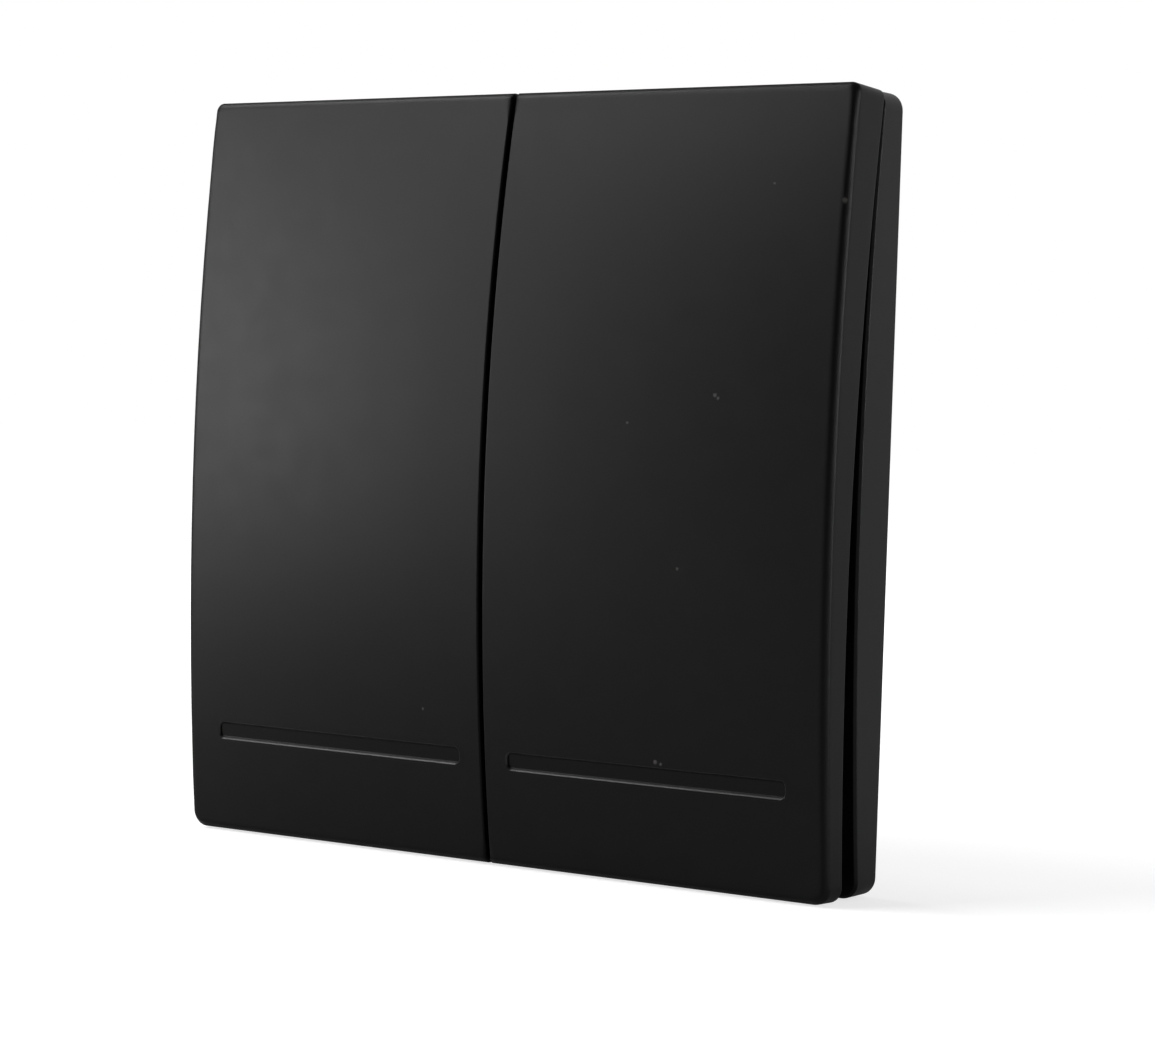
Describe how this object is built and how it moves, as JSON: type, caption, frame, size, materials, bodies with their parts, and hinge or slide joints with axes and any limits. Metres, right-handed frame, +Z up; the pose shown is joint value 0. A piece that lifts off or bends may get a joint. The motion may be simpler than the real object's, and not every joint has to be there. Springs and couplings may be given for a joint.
{
  "type": "wireless remote wall switch",
  "caption": "Flat square wall switch with side-by-side rocking keys, each driving a small battery-free generator that powers a radio sender.",
  "frame": {"origin": "centre of the back face, on the wall", "axes": "+X to the right seen from the room, +Y into the wall, +Z up"},
  "size_m": [0.086, 0.0144, 0.0861],
  "materials": {
    "black_shell": "satin black, finely textured",
    "black_frame": "black, moulded",
    "grey_moulding": "grey, moulded",
    "frame_moulding": "light grey, moulded",
    "bobbin_moulding": "off-white, moulded",
    "copper_wire": "enamelled copper wire",
    "soft_iron": "stamped, bright",
    "magnet_nickel": "nickel plated",
    "spring_steel": "bright strip",
    "screw_steel": "zinc plated",
    "board_green": "green solder mask",
    "chip_black": "moulded resin",
    "capacitor_yellow": "moulded resin",
    "crystal_can": "metal can",
    "silicone": "translucent grey silicone",
    "antenna_wire": "plated strip"
  },
  "bodies": {
    "base": {"antenna": "antenna_wire", "back_plate": "black_shell", "board_screws": "screw_steel", "chassis": "black_frame", "choke": "chip_black", "circuit_board": "board_green", "coil_bobbin_left": "bobbin_moulding", "coil_bobbin_right": "bobbin_moulding", "coil_winding_left": "copper_wire", "coil_winding_right": "copper_wire", "contact_nipple_left": "silicone", "contact_nipple_right": "silicone", "crystal": "crystal_can", "frame_screws": "screw_steel", "generator_frame_left": "frame_moulding", "generator_frame_right": "frame_moulding", "iron_core_left": "soft_iron", "iron_core_right": "soft_iron", "radio_chip": "chip_black", "rectifiers": "chip_black", "storage_capacitors": "capacitor_yellow", "torsion_spring_left": "spring_steel", "torsion_spring_right": "spring_steel"},
    "left_rocker": {"rocker_left": "black_shell"},
    "left_lever": {"swing_lever_left": "grey_moulding", "magnet_left": "magnet_nickel", "pole_plates_left": "soft_iron"},
    "right_rocker": {"rocker_right": "black_shell"},
    "right_lever": {"swing_lever_right": "grey_moulding", "magnet_right": "magnet_nickel", "pole_plates_right": "soft_iron"}
  },
  "joints": [
    {"name": "left_rocker_hinge", "type": "hinge", "parent": "base", "child": "left_rocker", "pos_m": [0, -0.006, 0.039], "axis": [1, 0, 0], "range_deg": [0, 2.2], "stiffness_Nm_per_rad": 1, "springref_deg": -1.15, "deforming": ["contact_nipple_left"]},
    {"name": "left_lever_pivot", "type": "hinge", "parent": "base", "child": "left_lever", "pos_m": [0, -0.0064, -0.003], "axis": [1, 0, 0], "range_deg": [0, 5.91], "deforming": ["torsion_spring_left"]},
    {"name": "right_rocker_hinge", "type": "hinge", "parent": "base", "child": "right_rocker", "pos_m": [0, -0.006, 0.039], "axis": [1, 0, 0], "range_deg": [0, 2.2], "stiffness_Nm_per_rad": 1, "springref_deg": -1.15, "deforming": ["contact_nipple_right"]},
    {"name": "right_lever_pivot", "type": "hinge", "parent": "base", "child": "right_lever", "pos_m": [0, -0.0064, -0.003], "axis": [1, 0, 0], "range_deg": [0, 5.91], "deforming": ["torsion_spring_right"]}
  ],
  "couplings": [
    {"joint": "left_lever_pivot", "follows": "left_rocker_hinge", "ratio": 2.68},
    {"joint": "right_lever_pivot", "follows": "right_rocker_hinge", "ratio": 2.68}
  ]
}
